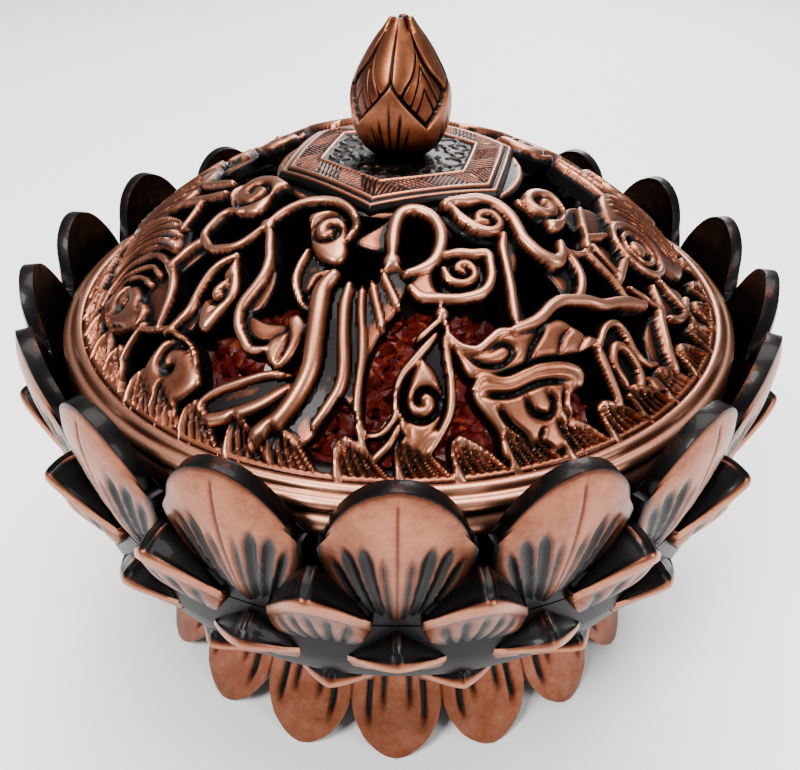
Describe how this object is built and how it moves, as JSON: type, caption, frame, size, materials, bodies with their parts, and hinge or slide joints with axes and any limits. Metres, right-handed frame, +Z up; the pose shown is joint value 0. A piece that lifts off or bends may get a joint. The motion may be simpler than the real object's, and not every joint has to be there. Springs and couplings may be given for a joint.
{
  "type": "incense burner",
  "caption": "Round covered incense burner: a bowl held in rings of cast lotus petals on a petalled foot, with a lift-off pierced dome lid and a lotus-bud knob.",
  "frame": {"origin": "middle of the foot, on the surface the burner stands on", "axes": "+Z up along the axis the lid lifts on, front towards -Y, +X to the right"},
  "size_m": [0.1224, 0.121, 0.1037],
  "materials": {
    "antique_copper": "satin antique red copper plate over cast metal, worn bright on the high places and near black in the hollows",
    "dark_cast": "blackened copper plate, bright on the rim bead",
    "foot_copper": "redder, browner satin copper plate with dark grooves",
    "bud_copper": "warm brown antique copper plate, glossy",
    "zinc_plate": "bright zinc-plated steel",
    "felt": "matte felted mineral fibre",
    "red_stone": "wet-looking dark red translucent chips"
  },
  "bodies": {
    "base": {"bowl": "dark_cast", "petal_ring_1": "antique_copper", "petal_ring_2": "antique_copper", "petal_ring_3": "antique_copper", "petal_ring_4": "antique_copper", "foot": "foot_copper", "base_screw": "zinc_plate", "base_washer": "zinc_plate", "base_lock_washer": "zinc_plate", "heat_mat": "felt", "stone_bed": "red_stone"},
    "lid": {"lid_dome": "antique_copper", "lid_plate": "antique_copper", "lid_bud": "bud_copper", "lid_screw": "zinc_plate", "lid_washer": "zinc_plate"}
  },
  "joints": [
    {"name": "lid_lift", "type": "slide", "parent": "base", "child": "lid", "axis": [0, 0, 1], "range_m": [0, 0.05]}
  ]
}
